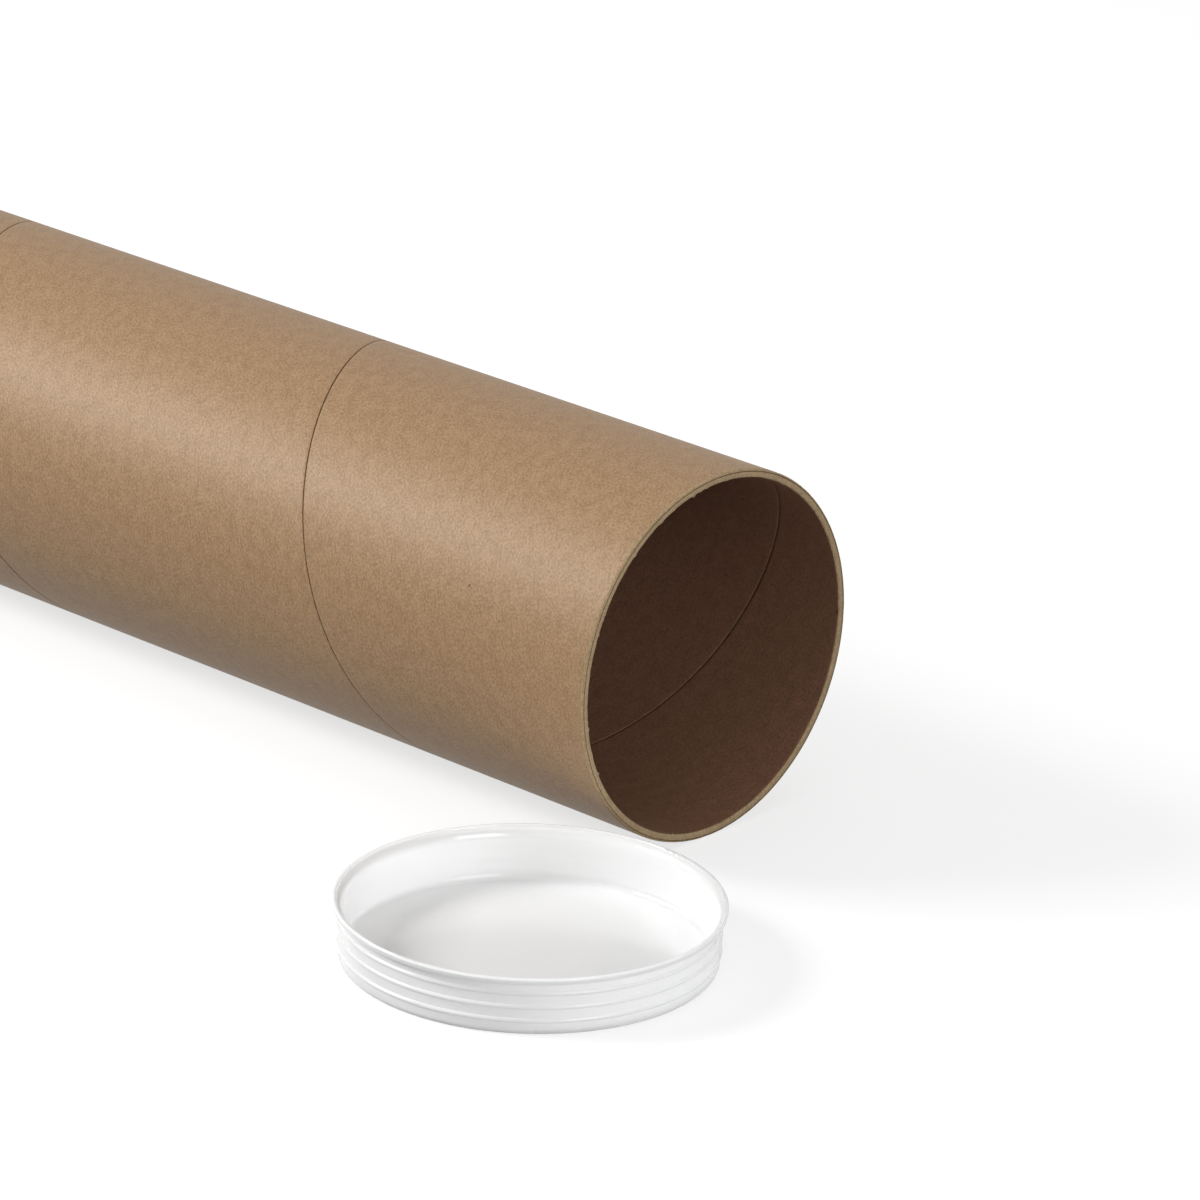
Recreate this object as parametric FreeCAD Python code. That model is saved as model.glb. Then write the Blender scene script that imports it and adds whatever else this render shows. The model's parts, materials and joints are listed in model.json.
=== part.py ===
import FreeCAD, Part
import math
import os

from FreeCAD import Vector, Rotation, Placement

# A spirally wound paperboard mailing tube that lies on its side along X. Its open mouth faces +X.
# One cup-shaped end cap closes the far end, and an equal one lies taken off beside the mouth.
# The origin is the centre of the mouth, +Z is up, and the surface below is one tube radius down.

# Tube
tube_length = 609.6
bore_diameter = 76.2
tube_wall = 1.8

# Butt seam of the outer ply, a shallow groove that winds right-handed round +X.
# It crosses the top of the tube first at seam_behind_mouth.
seam_pitch = 113.0
seam_width = 0.4
seam_depth = 0.25
seam_behind_mouth = 105.5

# End cap: a thin cup with a flange at its open rim and gripping ribs round its plug
cap_height = 12.5
cap_wall = 0.9
cap_base = 1.2
flange_thickness = 1.3
flange_overhang = 1.2
flange_flare = 0.2
rim_land = 0.9
mouth_flare_depth = 2.0
rib_count = 3
rib_pitch = 2.85
rib_height = 0.35
rib_half_width = 0.5
first_rib_below_flange = 2.35
inner_corner_radius = 1.2
outer_corner_radius = 1.2

# The ribs are a little over the free bore. Where a cap sits they press the board back to a seat.
rib_interference = 0.2
cap_running_clearance = 0.05
seat_lead = 0.8
seat_ease = 3.0

# Place of the cap that lies taken off, measured from the mouth and from the side of the tube
loose_cap_ahead = 18.0
loose_cap_tuck = 6.8

bore_radius = bore_diameter / 2
tube_radius = bore_radius + tube_wall
surface_height = -tube_radius

rib_radius = bore_radius + rib_interference
plug_radius = rib_radius - rib_height
flange_radius = bore_radius + flange_overhang
flange_underside = cap_height - flange_thickness
seat_radius = rib_radius + cap_running_clearance
seat_depth = flange_underside + seat_lead


def spiral_seam():
    """The solid that cuts the seam groove, running past both ends of the tube."""
    overrun = seam_pitch / 4
    helix_length = tube_length + 2 * overrun
    helix = Part.makeHelix(seam_pitch, helix_length, tube_radius)
    # The helix climbs its own +Z from the point (tube_radius, 0, 0).
    start = Vector(tube_radius, 0, 0)
    along = Vector(0, 2 * math.pi * tube_radius, seam_pitch).normalize()
    outward = Vector(1, 0, 0)
    across = along.cross(outward)
    half = across * (seam_width / 2)
    inner_edge = outward * -seam_depth
    outer_edge = outward * seam_depth
    corners = [
        start + half + inner_edge,
        start + half + outer_edge,
        start - half + outer_edge,
        start - half + inner_edge,
    ]
    section = Part.makePolygon(corners + corners[:1])
    sweep = Part.Wire(helix).makePipeShell([section], True, True)
    # Lay the helix along +X, which leaves its start at the bottom of the tube, half a turn from the top.
    sweep.Placement = Placement(Vector(0, 0, 0), Rotation(Vector(0, 1, 0), 90))
    turns_to_top_crossing = (tube_length + overrun - seam_behind_mouth) / seam_pitch
    sweep.rotate(Vector(0, 0, 0), Vector(1, 0, 0), -360 * (turns_to_top_crossing + 0.5))
    sweep.translate(Vector(-tube_length - overrun, 0, 0))
    return sweep


def make_tube():
    far_end = Vector(-tube_length, 0, 0)
    inwards = Vector(1, 0, 0)
    tube = Part.makeCylinder(tube_radius, tube_length, far_end, inwards)
    tube = tube.cut(Part.makeCylinder(bore_radius, tube_length, far_end, inwards))
    # The seat of the fitted cap, and the stretch where the pressed board eases back to the free bore
    seat_end = Vector(seat_depth - tube_length, 0, 0)
    seat = Part.makeCylinder(seat_radius, seat_depth, far_end, inwards)
    ease = Part.makeCone(seat_radius, bore_radius, seat_ease, seat_end, inwards)
    return tube.cut(seat).cut(ease).cut(spiral_seam())


def arc(start, middle, end):
    return Part.Arc(Vector(*start), Vector(*middle), Vector(*end)).toShape()


def line(start, end):
    return Part.makeLine(Vector(*start), Vector(*end))


def corner_middle(centre_x, centre_z, radius, turn_x, turn_z):
    """The middle point of a quarter-circle corner, towards (turn_x, turn_z) from its centre."""
    reach = radius * math.sqrt(0.5)
    return (centre_x + turn_x * reach, 0, centre_z + turn_z * reach)


def make_cap():
    """One end cap on its closed end, opening towards +Z, with its axis on Z."""
    cup_radius = plug_radius - cap_wall
    rim_inner_radius = flange_radius - rim_land
    edges = []

    # Underside and its rounded outer edge
    underside_radius = plug_radius - outer_corner_radius
    corner_top = (plug_radius, 0, outer_corner_radius)
    edges.append(line((0, 0, 0), (underside_radius, 0, 0)))
    middle = corner_middle(underside_radius, outer_corner_radius, outer_corner_radius, 1, -1)
    edges.append(arc((underside_radius, 0, 0), middle, corner_top))

    # Plug wall with its rounded ribs, from the lowest one up
    last = corner_top
    for number in reversed(range(rib_count)):
        crest = flange_underside - first_rib_below_flange - number * rib_pitch
        foot = (plug_radius, 0, crest - rib_half_width)
        head = (plug_radius, 0, crest + rib_half_width)
        edges.append(line(last, foot))
        edges.append(arc(foot, (rib_radius, 0, crest), head))
        last = head
    neck = (plug_radius, 0, flange_underside)
    edges.append(line(last, neck))

    # Flange, which flares a little towards its rounded rim
    flange_low = (flange_radius - flange_flare, 0, flange_underside)
    round_radius = rim_land / 2
    flange_high = (flange_radius, 0, cap_height - round_radius)
    rim_inside = (rim_inner_radius, 0, cap_height - round_radius)
    rim_top = (flange_radius - round_radius, 0, cap_height)
    edges.append(line(neck, flange_low))
    edges.append(line(flange_low, flange_high))
    edges.append(arc(flange_high, rim_top, rim_inside))

    # Inside of the cup: a mouth that curves out from the wall to the rim, rounded corner, flat bottom
    wall_top_height = cap_height - round_radius - mouth_flare_depth
    wall_top = (cup_radius, 0, wall_top_height)
    flare_reach = rim_inner_radius - cup_radius
    flare_radius = (flare_reach ** 2 + mouth_flare_depth ** 2) / (2 * flare_reach)
    half_turn = math.asin(mouth_flare_depth / flare_radius) / 2
    flare_middle_radius = cup_radius + flare_radius * (1 - math.cos(half_turn))
    flare_middle_height = wall_top_height + flare_radius * math.sin(half_turn)
    flare_middle = (flare_middle_radius, 0, flare_middle_height)
    wall_foot = (cup_radius, 0, cap_base + inner_corner_radius)
    floor_radius = cup_radius - inner_corner_radius
    middle = corner_middle(floor_radius, cap_base + inner_corner_radius, inner_corner_radius, 1, -1)
    edges.append(arc(rim_inside, flare_middle, wall_top))
    edges.append(line(wall_top, wall_foot))
    edges.append(arc(wall_foot, middle, (floor_radius, 0, cap_base)))
    edges.append(line((floor_radius, 0, cap_base), (0, 0, cap_base)))
    edges.append(line((0, 0, cap_base), (0, 0, 0)))

    profile = Part.Face(Part.Wire(edges))
    return profile.revolve(Vector(0, 0, 0), Vector(0, 0, 1), 360)


def make_fitted_cap():
    """The cap in the far end: closed end inside, and its flange against the tube's end."""
    cap = make_cap()
    cap.rotate(Vector(0, 0, 0), Vector(0, 1, 0), -90)
    cap.translate(Vector(flange_underside - tube_length, 0, 0))
    return cap


def make_loose_cap():
    """The cap taken off, lying on its closed end beside the mouth."""
    cap = make_cap()
    aside = tube_radius + flange_radius - loose_cap_tuck
    cap.translate(Vector(loose_cap_ahead, -aside, surface_height))
    return cap


parts = {
    "mailing_tube": make_tube(),
    "fitted_end_cap": make_fitted_cap(),
    "loose_end_cap": make_loose_cap(),
}

os.makedirs("parts", exist_ok=True)
for name, shape in parts.items():
    shape.exportStep("parts/" + name + ".step")
    box = shape.BoundBox
    print(name, "valid", shape.isValid(), "solids", len(shape.Solids), "volume", round(shape.Volume, 1))
    print("  from", round(box.XMin, 2), round(box.YMin, 2), round(box.ZMin, 2))
    print("  to", round(box.XMax, 2), round(box.YMax, 2), round(box.ZMax, 2))
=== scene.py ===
import json
import math

import bmesh
import bpy
from mathutils import Matrix, Vector, noise


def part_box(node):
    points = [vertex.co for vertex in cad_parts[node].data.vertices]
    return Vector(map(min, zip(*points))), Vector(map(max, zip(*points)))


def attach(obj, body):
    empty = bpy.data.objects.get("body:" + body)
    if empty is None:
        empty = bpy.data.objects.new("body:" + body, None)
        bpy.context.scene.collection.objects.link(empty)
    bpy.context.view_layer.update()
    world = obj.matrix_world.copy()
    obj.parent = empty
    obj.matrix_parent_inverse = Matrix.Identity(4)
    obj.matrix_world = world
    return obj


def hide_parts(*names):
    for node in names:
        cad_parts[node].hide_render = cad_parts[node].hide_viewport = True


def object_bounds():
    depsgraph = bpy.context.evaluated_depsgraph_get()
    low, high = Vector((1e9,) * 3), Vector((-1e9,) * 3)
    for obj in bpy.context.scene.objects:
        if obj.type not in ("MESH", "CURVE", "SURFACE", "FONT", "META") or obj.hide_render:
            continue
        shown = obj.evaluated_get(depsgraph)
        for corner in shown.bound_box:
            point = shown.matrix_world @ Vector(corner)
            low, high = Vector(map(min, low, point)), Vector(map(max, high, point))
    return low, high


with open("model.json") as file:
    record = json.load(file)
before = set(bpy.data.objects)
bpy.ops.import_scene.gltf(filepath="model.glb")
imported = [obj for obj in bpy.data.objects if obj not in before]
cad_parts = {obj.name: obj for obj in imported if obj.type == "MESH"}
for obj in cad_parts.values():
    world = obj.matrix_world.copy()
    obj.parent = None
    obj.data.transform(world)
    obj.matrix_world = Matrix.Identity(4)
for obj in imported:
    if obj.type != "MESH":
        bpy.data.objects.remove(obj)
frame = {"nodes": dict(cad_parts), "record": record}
cad_low, cad_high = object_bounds()


# Wound tube
# Kraft paperboard plies wound right-handed on a mandrel and glued. The outer ply is smooth kraft
# paper whose two edges meet in an open butt seam, and the tube is sawn to length at both ends.

tube_low, tube_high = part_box("mailing_tube")
tube_length = tube_high.x - tube_low.x
tube_radius = (tube_high.z - tube_low.z) / 2
free_bore = frame["record"]["mounts"][0]["dims"]
bore_radius = free_bore["r_mm"] / 1000
free_bore_length = free_bore["length_mm"] / 1000

ply_pitch = 0.113
outer_seam_top_x = -0.1055
inner_seam_top_x = -0.1076
steps_per_turn = 360

# Butt seams: distance from the middle of the gap and depth below the ply's face
outer_seam_profile = [
    (0.00000, 0.00025),
    (0.00010, 0.00025),
    (0.00016, 0.00015),
    (0.00022, 0.00004),
    (0.00034, 0.00000),
    (0.00090, 0.00000),
    (0.00400, 0.00000),
    (0.02200, 0.00000),
]
inner_seam_profile = [
    (0.00000, 0.00014),
    (0.00012, 0.00014),
    (0.00022, 0.00004),
    (0.00036, 0.00000),
    (0.00080, 0.00000),
    (0.00400, 0.00000),
]

# A seam's gap is a little wider in some places than in others: the share of its profile's width,
# how far that share changes, and how quickly it does along the seam
seam_edge_reach = 0.0005
seam_openness = 0.85
seam_openness_change = 0.45
openness_per_step = 0.031
openness_per_radius = 100
openness_row = 3.7

# Sawn ends, from the ply's face inwards: distance back from the end and distance from the face
outer_edge_steps = [
    (0.00055, 0.00000),
    (0.00030, 0.00004),
    (0.00014, 0.00014),
    (0.00005, 0.00028),
    (0.00001, 0.00038),
    (0.00026, 0.00046),
]
inner_edge_steps = [
    (0.00030, 0.00000),
    (0.00012, 0.00004),
    (0.00002, 0.00014),
    (0.00000, 0.00030),
    (0.00000, 0.00120),
    (0.00026, 0.00128),
]
edge_supports = [0.0008, 0.0020]

# The saw leaves the liner's edge ragged, with a few torn tufts that stand into the bore
ragged_height = 0.00015
ragged_set_back = 0.3
smooth_edge_share = 0.3
liner_edge_reach = 0.0002
coarse_fray_per_metre = 620
fine_fray_per_metre = 1500
fine_fray_share = 0.8
torn_per_metre = 2300
torn_from = 0.44
torn_full_after = 0.2
torn_reach = 0.0003

# The gap between the outer ply and the board below opens and closes once round the end
gap_openness = 0.55
gap_openness_change = 0.45
gap_turn = 0.9

# The fitted cap's ribs have pressed the bore back to a seat
seat_spread = 0.00025
seat_ease = 0.003

# The last face number is the board below the outer ply, painted nearly black as shade where it shows
# in the gaps
kraft_face, sawn_board, liner_face, ply_below_painted_shade = range(4)


def wound_ply(bm, radius, side, seam_top_x, profile, material):
    """One ply face as a strip wound along X. side is 1 for the outer face and -1 for the bore."""
    across = [distance for distance, depth in profile]
    depths = [depth for distance, depth in profile]
    across += [ply_pitch - distance for distance in reversed(across[1:])]
    depths += depths[:0:-1]
    rows = len(across)
    margin = 0.01
    turns_below = (tube_length + ply_pitch + margin + seam_top_x) / ply_pitch
    turns_above = (margin - seam_top_x) / ply_pitch + 1
    first_step = math.floor(-turns_below * steps_per_turn)
    last_step = math.ceil(turns_above * steps_per_turn)
    lead = math.atan2(ply_pitch, math.tau * radius)
    strip_map = bm.loops.layers.uv.verify()

    columns = []
    for step in range(first_step, last_step + 1):
        angle = math.pi / 2 + math.tau * step / steps_per_turn
        seam_x = seam_top_x + ply_pitch * step / steps_per_turn
        along_seam = Vector((openness_per_step * step, radius * openness_per_radius, openness_row))
        openness = seam_openness + seam_openness_change * noise.noise(along_seam)
        column = []
        for row in range(rows):
            distance = across[row]
            if distance < seam_edge_reach:
                distance *= openness
            elif distance > ply_pitch - seam_edge_reach:
                distance = ply_pitch - (ply_pitch - distance) * openness
            reach = radius - side * depths[row]
            where = (seam_x + distance, reach * math.cos(angle), reach * math.sin(angle))
            unrolled = radius * angle
            along = unrolled * math.cos(lead) + (seam_x + distance) * math.sin(lead)
            column.append((bm.verts.new(where), (along, distance * math.cos(lead))))
        columns.append(column)

    # Rows are joined along the strip, and its last row to the first row of the next turn
    for number in range(len(columns) - steps_per_turn - 1):
        here = columns[number]
        following = columns[number + 1]
        turn_later = columns[number + steps_per_turn]
        turn_later_following = columns[number + steps_per_turn + 1]
        for row in range(rows):
            if row + 1 < rows:
                far_pair = (following[row + 1], here[row + 1])
            else:
                seam_along = (here[row][1][0], following[row][1][0])
                seam_across = ply_pitch * math.cos(lead)
                far_pair = (
                    (turn_later_following[0][0], (seam_along[1], seam_across)),
                    (turn_later[0][0], (seam_along[0], seam_across)),
                )
            corners = [here[row], following[row], *far_pair]
            if side < 0:
                corners.reverse()
            face = bm.faces.new([vertex for vertex, strip in corners])
            # Faces in a seam's gap take the painted shade of the ply below
            in_seam = row in (0, 1, rows - 2, rows - 1)
            face.material_index = ply_below_painted_shade if in_seam else material
            for loop, (vertex, strip) in zip(face.loops, corners):
                loop[strip_map].uv = strip
    loose = [vertex for vertex in bm.verts if not vertex.link_faces]
    bmesh.ops.delete(bm, geom=loose, context="VERTS")


def cut_square(bm, x, outwards, keep_all=False):
    """Cuts across the tube at x, and drops what lies beyond unless keep_all."""
    geometry = list(bm.verts) + list(bm.edges) + list(bm.faces)
    cut = bmesh.ops.bisect_plane(
        bm,
        geom=geometry,
        dist=1e-7,
        plane_co=(x, 0, 0),
        plane_no=(outwards, 0, 0),
        clear_outer=not keep_all,
    )
    return [item for item in cut["geom_cut"] if isinstance(item, bmesh.types.BMEdge)]


def saw_to_length(bm, edge_steps):
    """Cuts a ply face to the tube's length, and returns its edges at the mouth and the far end."""
    for back in edge_supports:
        cut_square(bm, -back, 1, keep_all=True)
        cut_square(bm, back - tube_length, -1, keep_all=True)
    first_back = edge_steps[0][0]
    mouth = cut_square(bm, -first_back, 1)
    far_end = cut_square(bm, first_back - tube_length, -1)
    return mouth, far_end


def finish_end(bm, edges, end_x, outwards, face_radius, side, steps):
    """Turns a ply face over the sawn end, ring by ring."""
    ring = edges
    for number in range(1, len(steps)):
        back, inset = steps[number]
        grown = bmesh.ops.extrude_edge_only(bm, edges=ring)["geom"]
        ring = [item for item in grown if isinstance(item, bmesh.types.BMEdge)]
        # The last ring lies in the gap under the outer ply and takes the painted shade of the ply
        # below
        in_gap = number == len(steps) - 1
        on_liner_edge = side < 0 and inset < liner_edge_reach
        raggedness = 1.0 if on_liner_edge else smooth_edge_share
        for item in grown:
            if isinstance(item, bmesh.types.BMFace):
                item.material_index = ply_below_painted_shade if in_gap else sawn_board
        for vertex in {vertex for edge in ring for vertex in edge.verts}:
            y, z = vertex.co.yz
            angle = math.atan2(z, y)
            fray = noise.noise(Vector((y, z, end_x)) * coarse_fray_per_metre)
            fray += fine_fray_share * noise.noise(Vector((z, y, end_x)) * fine_fray_per_metre)
            bite = raggedness * ragged_height * (fray + 1) / 2
            torn = noise.noise(Vector((z, end_x, y)) * torn_per_metre)
            if on_liner_edge and torn > torn_from:
                bite = -torn_reach * (torn - torn_from) / torn_full_after
            opening = 1.0
            if in_gap:
                opening = gap_openness + gap_openness_change * math.sin(angle + gap_turn)
            reach = face_radius - side * (inset + bite)
            set_back = back * opening + raggedness * ragged_height * ragged_set_back
            vertex.co.x = end_x - outwards * set_back
            vertex.co.y = reach * math.cos(angle)
            vertex.co.z = reach * math.sin(angle)


tube_mesh = bmesh.new()
wound_ply(tube_mesh, tube_radius, 1, outer_seam_top_x, outer_seam_profile, kraft_face)
mouth, far_end = saw_to_length(tube_mesh, outer_edge_steps)
finish_end(tube_mesh, mouth, 0, 1, tube_radius, 1, outer_edge_steps)
finish_end(tube_mesh, far_end, -tube_length, -1, tube_radius, 1, outer_edge_steps)

bore_mesh = bmesh.new()
wound_ply(bore_mesh, bore_radius, -1, inner_seam_top_x, inner_seam_profile, liner_face)
cut_square(bore_mesh, -free_bore_length, 1, keep_all=True)
cut_square(bore_mesh, -free_bore_length - seat_ease, 1, keep_all=True)
for vertex in bore_mesh.verts:
    pressed = min(max((-free_bore_length - vertex.co.x) / seat_ease, 0), 1)
    spread = 1 + pressed * seat_spread / bore_radius
    vertex.co.y *= spread
    vertex.co.z *= spread
mouth, far_end = saw_to_length(bore_mesh, inner_edge_steps)
finish_end(bore_mesh, mouth, 0, 1, bore_radius, -1, inner_edge_steps)
finish_end(bore_mesh, far_end, -tube_length, -1, bore_radius + seat_spread, -1, inner_edge_steps)

tube_data = bpy.data.meshes.new("mailing_tube_wound")
bore_data = bpy.data.meshes.new("mailing_tube_bore")
bore_mesh.to_mesh(bore_data)
bore_mesh.free()
tube_mesh.from_mesh(bore_data)
bpy.data.meshes.remove(bore_data)

# The two faces are closed at each end by a ring between their last steps, deep in the gap, which
# takes the gaps' painted shade
end_margin = 0.01
open_edges = [edge for edge in tube_mesh.edges if edge.is_boundary]
for end_x in (0, -tube_length):
    at_end = [edge for edge in open_edges if abs(edge.verts[0].co.x - end_x) < end_margin]
    joined = bmesh.ops.bridge_loops(tube_mesh, edges=at_end)
    for face in joined["faces"]:
        face.material_index = ply_below_painted_shade
bmesh.ops.recalc_face_normals(tube_mesh, faces=tube_mesh.faces)
for face in tube_mesh.faces:
    face.smooth = True
tube_mesh.to_mesh(tube_data)
tube_mesh.free()
tube = bpy.data.objects.new("wound_tube", tube_data)
bpy.context.scene.collection.objects.link(tube)

# A Mix node has a socket of the same name for each kind of value, so they are told by number
mix_factor, mix_value_a, mix_value_b, mix_colour_a, mix_colour_b = 0, 2, 3, 6, 7
mix_value, mix_colour = 0, 2


def new_node(tree, kind, **settings):
    """A node with its properties and its unlinked inputs set."""
    node = tree.nodes.new(kind)
    for name, value in settings.items():
        if name in node.inputs:
            node.inputs[name].default_value = value
        else:
            setattr(node, name, value)
    return node


def value_range(tree, source, given, wanted, interpolation_type="LINEAR"):
    """A value brought from the given range to the wanted one. Each is a pair of numbers."""
    node = new_node(tree, "ShaderNodeMapRange", interpolation_type=interpolation_type)
    node.inputs["From Min"].default_value, node.inputs["From Max"].default_value = given
    node.inputs["To Min"].default_value, node.inputs["To Max"].default_value = wanted
    tree.links.new(source, node.inputs["Value"])
    return node.outputs["Result"]


def mixed_colour(tree, factor, colour_a, colour_b):
    """Two colours mixed by factor. A colour is three numbers or another node's output."""
    node = new_node(tree, "ShaderNodeMix", data_type="RGBA")
    tree.links.new(factor, node.inputs[mix_factor])
    for number, colour in ((mix_colour_a, colour_a), (mix_colour_b, colour_b)):
        if isinstance(colour, tuple):
            node.inputs[number].default_value = (*colour, 1)
        else:
            tree.links.new(colour, node.inputs[number])
    return node.outputs[mix_colour]


def paper_fibre_group():
    """Paper fibres: mottle, fine fibre and specks in one value each, from coordinates in metres."""
    group = bpy.data.node_groups.new("paper_fibres", "ShaderNodeTree")
    face = group.interface
    face.new_socket("Vector", in_out="INPUT", socket_type="NodeSocketVector")
    face.new_socket("Stretch", in_out="INPUT", socket_type="NodeSocketFloat").default_value = 0.8
    face.new_socket("Speck share", in_out="INPUT", socket_type="NodeSocketFloat").default_value = 0.1
    for name in ("Mottle", "Fibre", "Speck"):
        face.new_socket(name, in_out="OUTPUT", socket_type="NodeSocketFloat")
    start = new_node(group, "NodeGroupInput")
    end = new_node(group, "NodeGroupOutput")
    link = group.links.new

    stretch = new_node(group, "ShaderNodeCombineXYZ", Y=1.0, Z=1.0)
    link(start.outputs["Stretch"], stretch.inputs["X"])
    laid = new_node(group, "ShaderNodeVectorMath", operation="MULTIPLY")
    link(start.outputs["Vector"], laid.inputs[0])
    link(stretch.outputs["Vector"], laid.inputs[1])

    mottle = new_node(group, "ShaderNodeTexNoise", Scale=1900.0, Detail=5.0, Roughness=0.8)
    cloud = new_node(group, "ShaderNodeTexNoise", Scale=380.0, Detail=4.0, Roughness=0.62)
    fibre = new_node(group, "ShaderNodeTexNoise", Scale=2600.0, Detail=3.0, Roughness=0.7)
    for texture in (mottle, cloud, fibre):
        link(laid.outputs["Vector"], texture.inputs["Vector"])
    cloud_share = 0.22
    both = new_node(group, "ShaderNodeMix", data_type="FLOAT")
    both.inputs[mix_factor].default_value = cloud_share
    link(mottle.outputs["Fac"], both.inputs[mix_value_a])
    link(cloud.outputs["Fac"], both.inputs[mix_value_b])

    # One cell in a few holds a speck at its middle
    speck = new_node(group, "ShaderNodeTexVoronoi", Scale=210.0, Randomness=1.0)
    link(start.outputs["Vector"], speck.inputs["Vector"])
    core_to_rim = (0.03, 0.10)
    tiny = value_range(group, speck.outputs["Distance"], core_to_rim, (1.0, 0.0), "SMOOTHSTEP")
    chosen = new_node(group, "ShaderNodeSeparateColor")
    link(speck.outputs["Color"], chosen.inputs["Color"])
    rare = new_node(group, "ShaderNodeMath", operation="LESS_THAN")
    link(chosen.outputs["Red"], rare.inputs[0])
    link(start.outputs["Speck share"], rare.inputs[1])
    seen = new_node(group, "ShaderNodeMath", operation="MULTIPLY")
    link(tiny, seen.inputs[0])
    link(rare.outputs["Value"], seen.inputs[1])

    link(both.outputs[mix_value], end.inputs["Mottle"])
    link(fibre.outputs["Fac"], end.inputs["Fibre"])
    link(seen.outputs["Value"], end.inputs["Speck"])
    return group


paper_fibres = paper_fibre_group()


def board_material(name, light, dark, speck, speck_share, coordinates, roughness, bump_height):
    """Bare paperboard: two browns mixed by its fibres, dark specks and a fibrous surface."""
    material = bpy.data.materials.new(name)
    material.use_nodes = True
    tree = material.node_tree
    link = tree.links.new
    shader = tree.nodes["Principled BSDF"]
    place = new_node(tree, "ShaderNodeTexCoord")
    fibres = new_node(tree, "ShaderNodeGroup", node_tree=paper_fibres)
    fibres.inputs["Speck share"].default_value = speck_share
    link(place.outputs[coordinates], fibres.inputs["Vector"])
    dark_to_light = (0.42, 0.58)
    tone = value_range(tree, fibres.outputs["Mottle"], dark_to_light, (0.0, 1.0))
    brown = mixed_colour(tree, tone, dark, light)
    specked = mixed_colour(tree, fibres.outputs["Speck"], brown, speck)
    link(specked, shader.inputs["Base Color"])
    paper_gloss = 0.36
    warm_gloss = (1.0, 0.90, 0.77, 1)
    shader.inputs["Specular IOR Level"].default_value = paper_gloss
    shader.inputs["Specular Tint"].default_value = warm_gloss
    change = 0.06
    rough_range = (roughness - change, roughness + change)
    gloss = value_range(tree, fibres.outputs["Fibre"], (0.0, 1.0), rough_range)
    link(gloss, shader.inputs["Roughness"])
    height = new_node(tree, "ShaderNodeMath", operation="ADD")
    link(fibres.outputs["Fibre"], height.inputs[0])
    link(fibres.outputs["Mottle"], height.inputs[1])
    relief = new_node(tree, "ShaderNodeBump", Strength=1.0, Distance=bump_height)
    link(height.outputs["Value"], relief.inputs["Height"])
    link(relief.outputs["Normal"], shader.inputs["Normal"])
    return material


# In the order of the face numbers above: the outer ply, the sawn ends, the liner and the ply below,
# which is painted nearly black as the shade in the gaps
tube_data.materials.append(board_material(
    "kraft_outer_ply",
    light=(0.364, 0.231, 0.128),
    dark=(0.227, 0.133, 0.062),
    speck=(0.10, 0.055, 0.03),
    speck_share=0.02,
    coordinates="UV",
    roughness=0.50,
    bump_height=0.00002,
))
tube_data.materials.append(board_material(
    "sawn_board",
    light=(0.42, 0.305, 0.18),
    dark=(0.27, 0.19, 0.105),
    speck=(0.15, 0.09, 0.05),
    speck_share=0.3,
    coordinates="Object",
    roughness=0.8,
    bump_height=0.0001,
))
# The liner: partly its own dark brown and partly painted reddish bounce light, which moves the brown
# a little towards red
tube_data.materials.append(board_material(
    "kraft_liner_with_painted_bounce",
    light=(0.246, 0.124, 0.074),
    dark=(0.154, 0.076, 0.045),
    speck=(0.04, 0.022, 0.016),
    speck_share=0.15,
    coordinates="UV",
    roughness=0.7,
    bump_height=0.00004,
))
# Painted shade: the board under the outer ply is coloured nearly black where it shows in the seams'
# gaps and in the gaps at the ends
tube_data.materials.append(board_material(
    "ply_below_painted_shade",
    light=(0.11, 0.065, 0.03),
    dark=(0.07, 0.04, 0.02),
    speck=(0.05, 0.03, 0.02),
    speck_share=0.1,
    coordinates="Object",
    roughness=0.8,
    bump_height=0.00004,
))

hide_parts("mailing_tube")
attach(tube, "tube")


# End caps
# Thin cups moulded in white polyethylene, with a flange at the rim and soft ribs round the plug.
# One lies taken off beside the mouth, and an equal one is pressed into the far end.

milky_white = (0.925, 0.927, 0.935)
bright_white = (0.945, 0.947, 0.955)
cap_roughness = (0.13, 0.21)
flow_per_metre = 90.0
flow_height = 0.00005
translucency = 0.6
light_depth = (0.004, 0.004, 0.0042)

# The melt's flow into the mould leaves slow waves in the surface, its tone and its gloss
cap_plastic = bpy.data.materials.new("moulded_cap_plastic")
cap_plastic.use_nodes = True
tree = cap_plastic.node_tree
link = tree.links.new
shader = tree.nodes["Principled BSDF"]
place = new_node(tree, "ShaderNodeTexCoord")
flow = new_node(tree, "ShaderNodeTexNoise", Scale=flow_per_metre, Detail=2.0, Roughness=0.5)
link(place.outputs["Object"], flow.inputs["Vector"])
tone = mixed_colour(tree, flow.outputs["Fac"], milky_white, bright_white)
link(tone, shader.inputs["Base Color"])
gloss = value_range(tree, flow.outputs["Fac"], (0.0, 1.0), cap_roughness)
link(gloss, shader.inputs["Roughness"])
waves = new_node(tree, "ShaderNodeBump", Strength=1.0, Distance=flow_height)
link(flow.outputs["Fac"], waves.inputs["Height"])
link(waves.outputs["Normal"], shader.inputs["Normal"])
shader.inputs["Subsurface Weight"].default_value = translucency
shader.inputs["Subsurface Radius"].default_value = light_depth
shader.inputs["Subsurface Scale"].default_value = 1.0
for name in ("loose_end_cap", "fitted_end_cap"):
    cap = frame["nodes"][name]
    cap.data.materials.clear()
    cap.data.materials.append(cap_plastic)
    for polygon in cap.data.polygons:
        polygon.use_smooth = True


# Floor, light and camera
# A white studio surface under the tube, with soft boxes to its left, in front of its mouth and
# above it, and the camera of the photograph.

floor_reach = 6.0
floor_bounce = 0.27
floor_shadow_depth = 0.34
floor_glow = 0.71
room_fill = 0.22

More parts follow.
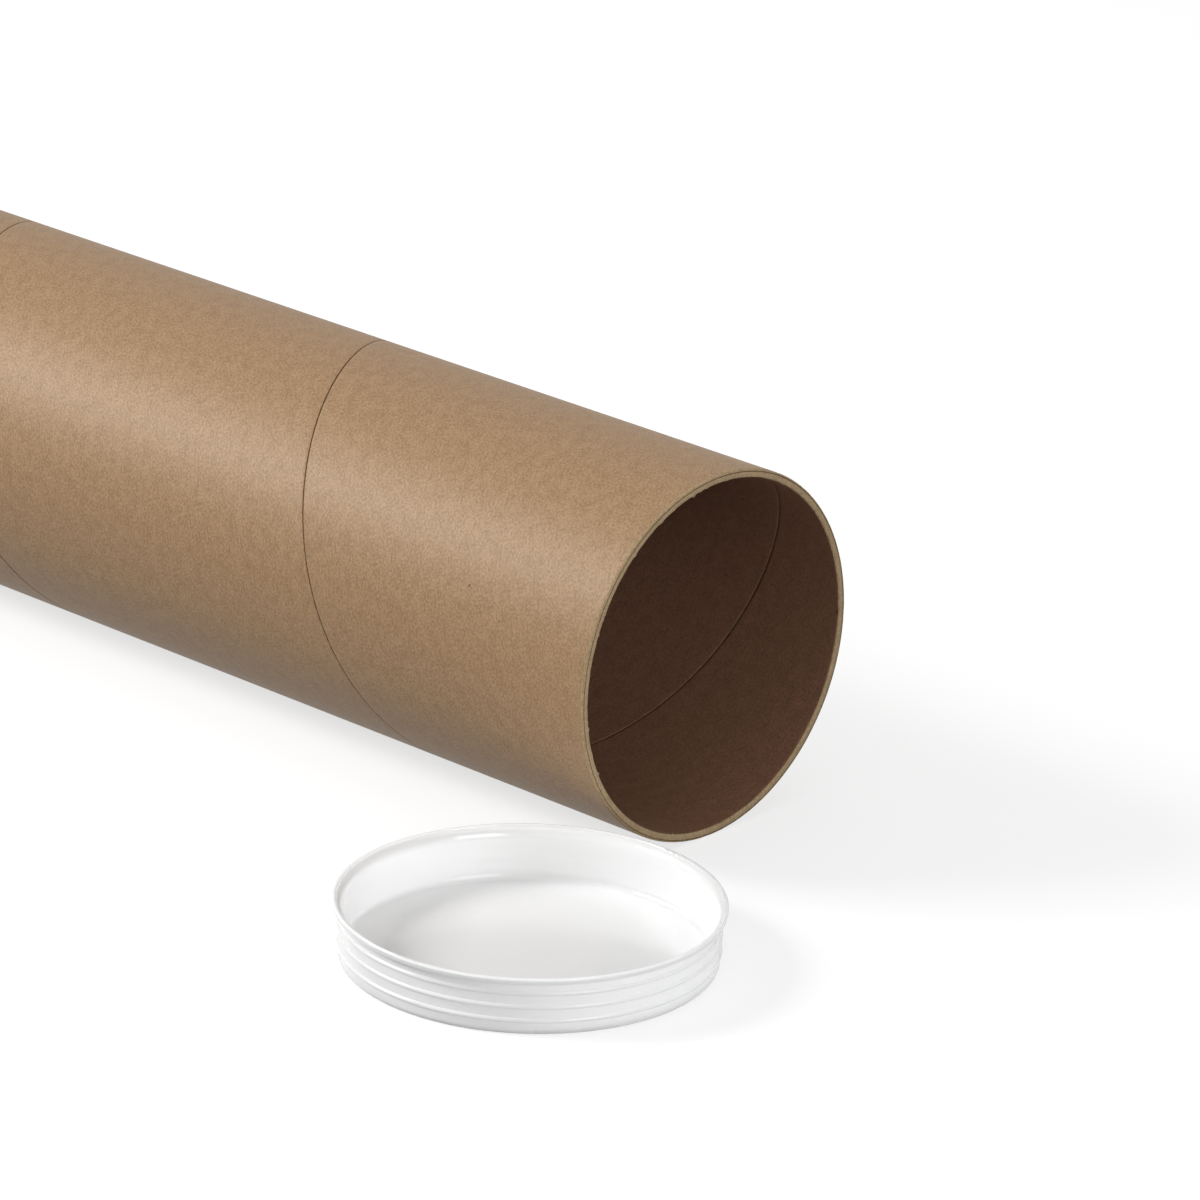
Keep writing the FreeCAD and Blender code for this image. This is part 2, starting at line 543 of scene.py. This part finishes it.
floor_corners = [(-1, -1), (1, -1), (1, 1), (-1, 1)]
floor_points = [(x * floor_reach, y * floor_reach, cad_low.z) for x, y in floor_corners]
floor_data = bpy.data.meshes.new("studio_floor")
floor_data.from_pydata(floor_points, [], [(0, 1, 2, 3)])
floor = bpy.data.objects.new("studio_floor", floor_data)
bpy.context.scene.collection.objects.link(floor)


def background_rays(tree):
    """1 for the rays that show the studio's white, and 0 for those that only carry light."""
    ray = new_node(tree, "ShaderNodeLightPath")
    seen = new_node(tree, "ShaderNodeMath", operation="MAXIMUM")
    tree.links.new(ray.outputs["Is Camera Ray"], seen.inputs[0])
    tree.links.new(ray.outputs["Is Glossy Ray"], seen.inputs[1])
    seen_through = new_node(tree, "ShaderNodeMath", operation="MAXIMUM")
    tree.links.new(seen.outputs["Value"], seen_through.inputs[0])
    tree.links.new(ray.outputs["Is Transmission Ray"], seen_through.inputs[1])
    return seen_through.outputs["Value"]


def show_white(tree, carrying, showing, surface):
    """One shader for the rays that carry light, and another for those that show the white."""
    blend = new_node(tree, "ShaderNodeMixShader")
    tree.links.new(background_rays(tree), blend.inputs["Fac"])
    tree.links.new(carrying, blend.inputs[1])
    tree.links.new(showing, blend.inputs[2])
    tree.links.new(blend.outputs["Shader"], surface)


floor_paint = bpy.data.materials.new("studio_white")
floor_paint.use_nodes = True
tree = floor_paint.node_tree
tree.nodes.remove(tree.nodes["Principled BSDF"])
grey = new_node(tree, "ShaderNodeBsdfDiffuse", Color=(floor_bounce, floor_bounce, floor_bounce, 1))
shaded_colour = (floor_shadow_depth, floor_shadow_depth, floor_shadow_depth, 1)
shaded = new_node(tree, "ShaderNodeBsdfDiffuse", Color=shaded_colour)
glow = new_node(tree, "ShaderNodeEmission", Strength=floor_glow)
white = new_node(tree, "ShaderNodeAddShader")
tree.links.new(shaded.outputs["BSDF"], white.inputs[0])
tree.links.new(glow.outputs["Emission"], white.inputs[1])
floor_surface = tree.nodes["Material Output"].inputs["Surface"]
show_white(tree, grey.outputs["BSDF"], white.outputs["Shader"], floor_surface)
floor_data.materials.append(floor_paint)

world = bpy.data.worlds.new("studio")
bpy.context.scene.world = world
world.use_nodes = True
tree = world.node_tree
fill = tree.nodes["Background"]
fill.inputs["Color"].default_value = (1, 1, 1, 1)
fill.inputs["Strength"].default_value = room_fill
white = new_node(tree, "ShaderNodeBackground", Strength=1.0)
world_surface = tree.nodes["World Output"].inputs["Surface"]
show_white(tree, fill.outputs["Background"], white.outputs["Background"], world_surface)


def soft_light(name, direction, distance, side, power):
    """A square softbox that faces the visible part of the tube."""
    aim = Vector((-0.1, 0, 0))
    lamp = bpy.data.lights.new(name, "AREA")
    lamp.shape = "SQUARE"
    lamp.size = side
    lamp.energy = power
    box = bpy.data.objects.new(name, lamp)
    box.location = aim + Vector(direction).normalized() * distance
    box.rotation_euler = (box.location - aim).to_track_quat("Z", "Y").to_euler()
    bpy.context.scene.collection.objects.link(box)


soft_light("left_softbox", (-0.636, -0.546, 0.545), distance=2.2, side=0.9, power=47)
soft_light("front_softbox", (0.93, -0.25, 0.27), distance=2.4, side=1.2, power=30)
soft_light("overhead_softbox", (0.1, 0.1, 1.0), distance=2.4, side=2.0, power=12)

# The camera looks down on the mouth from the front right, turned a little about its own axis.
# The mouth's place in its view and the focal length are those of the photograph.
camera_azimuth = math.radians(42.78)
camera_elevation = math.radians(20.56)
camera_roll = math.radians(1.95)
mouth_distance = 1.3502
mouth_right = 0.02389
mouth_down = 0.01169
frame_width_px = 1200
focal_px = 6570
sensor_mm = 36
camera_data = bpy.data.cameras.new("camera")
camera_data.sensor_width = sensor_mm
camera_data.lens = sensor_mm * focal_px / frame_width_px
camera = bpy.data.objects.new("camera", camera_data)
turn = Matrix.Rotation(camera_azimuth, 4, "Z")
tip = Matrix.Rotation(math.pi / 2 - camera_elevation, 4, "X")
roll = Matrix.Rotation(camera_roll, 4, "Z")
mouth_in_view = Matrix.Translation((-mouth_right, mouth_down, mouth_distance))
camera.matrix_world = turn @ tip @ roll @ mouth_in_view
bpy.context.scene.collection.objects.link(camera)
bpy.context.scene.camera = camera

bpy.context.scene.view_settings.view_transform = "Standard"
